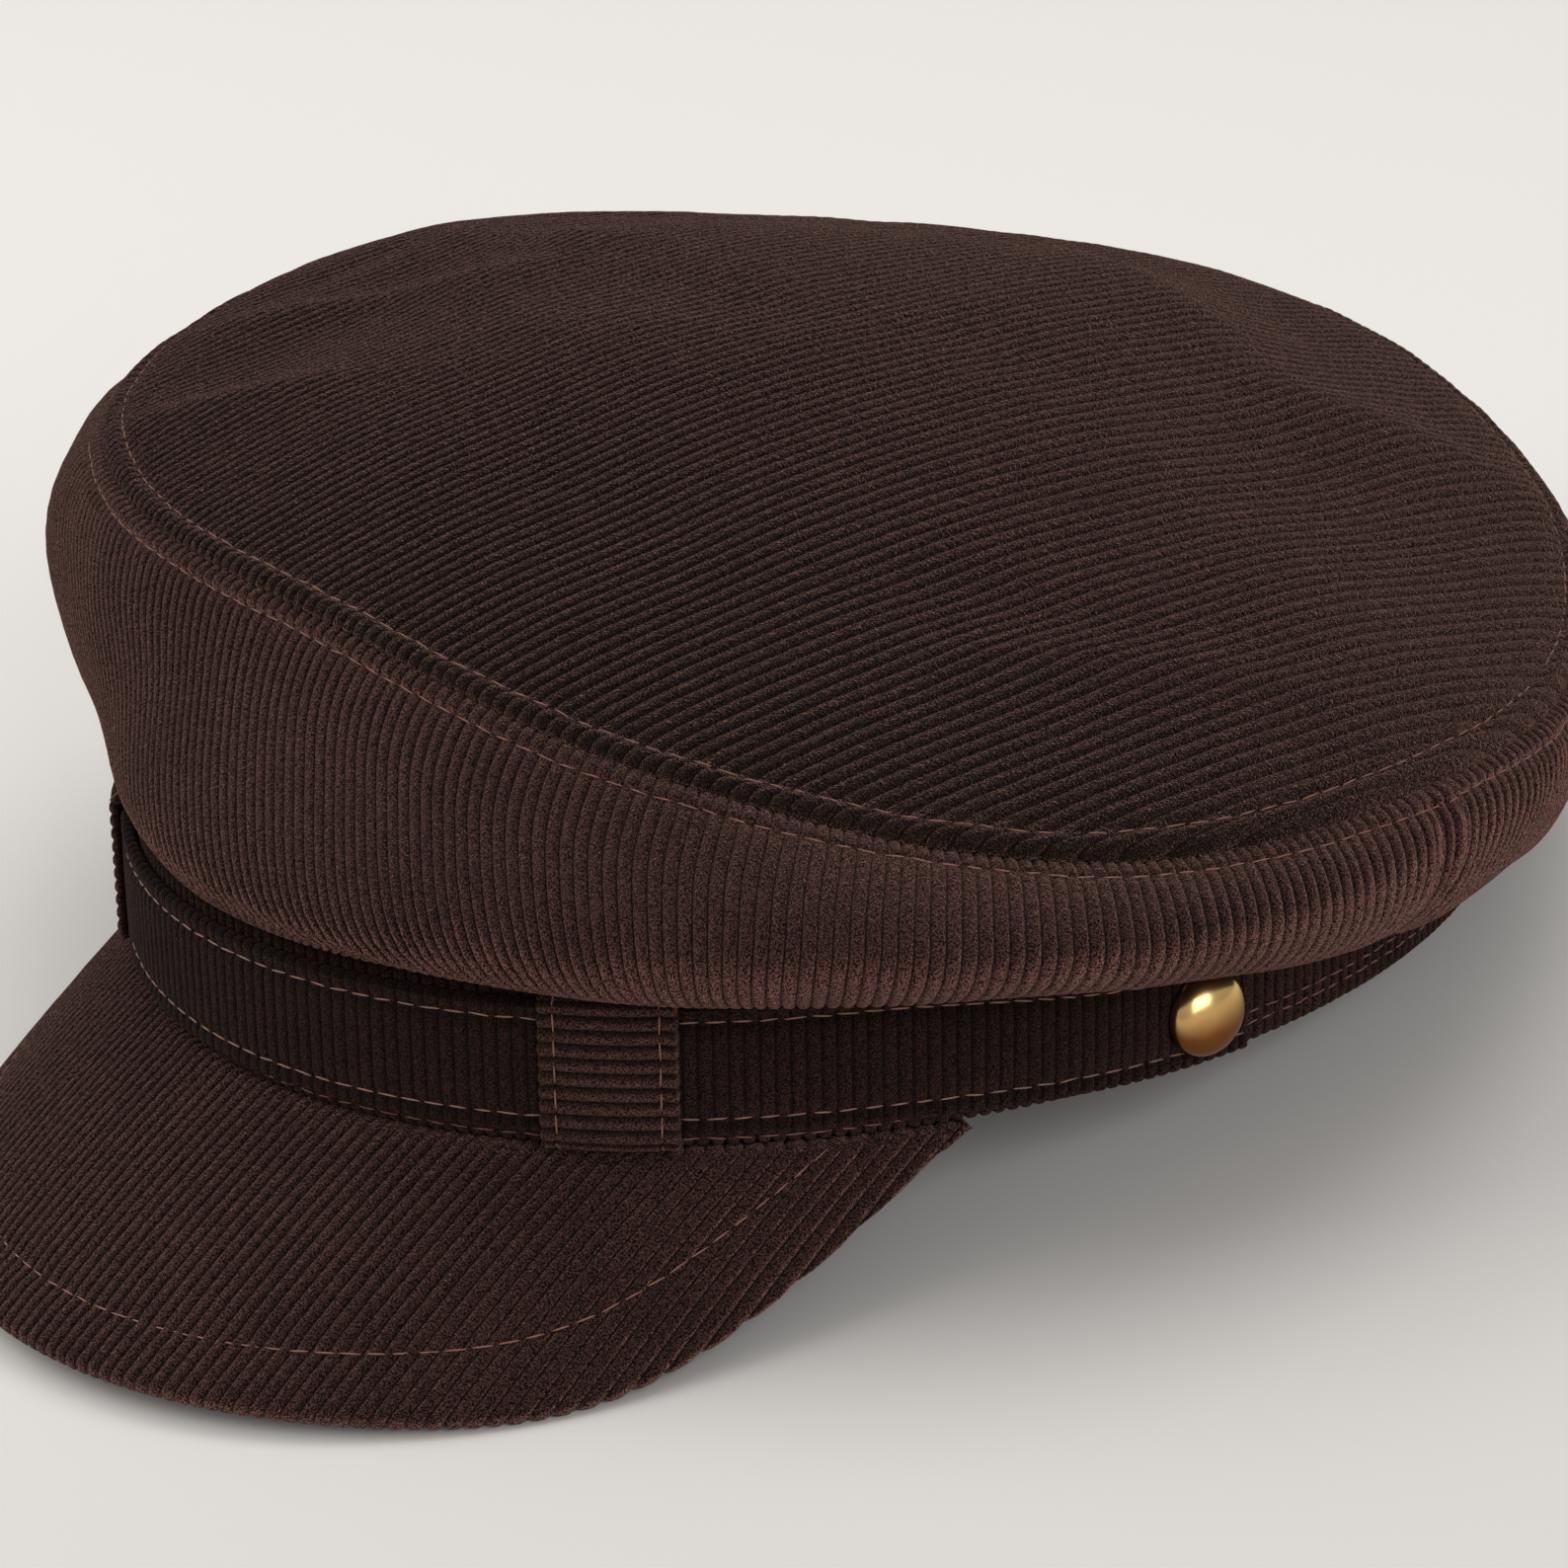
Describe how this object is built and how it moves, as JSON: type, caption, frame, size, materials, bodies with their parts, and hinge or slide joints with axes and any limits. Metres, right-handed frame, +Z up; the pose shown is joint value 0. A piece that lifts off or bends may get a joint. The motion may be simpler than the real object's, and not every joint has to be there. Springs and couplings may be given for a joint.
{
  "type": "skipper cap",
  "caption": "Soft corduroy skipper cap with a flat leaning crown, head band, buttoned strap and a sloping peak, standing as on a table.",
  "frame": {"origin": "centre of the bounding box on the surface that the cap rests on", "axes": "+Z up from that surface, -Y towards the peak, +X towards the wearer's left"},
  "size_m": [0.2252, 0.2588, 0.0914],
  "materials": {
    "corduroy": "dark brown fine-wale corduroy, matt with a soft nap",
    "band_corduroy": "dark brown fine-wale corduroy on a firm band",
    "brass": "polished brass with slight tarnish"
  },
  "bodies": {
    "root": {"crown_tip": "corduroy", "crown_side_front": "corduroy", "crown_side_back": "corduroy", "head_band": "band_corduroy", "strap": "corduroy", "keeper_left": "corduroy", "keeper_right": "corduroy", "button_left": "brass", "button_right": "brass", "peak": "corduroy"}
  },
  "joints": []
}
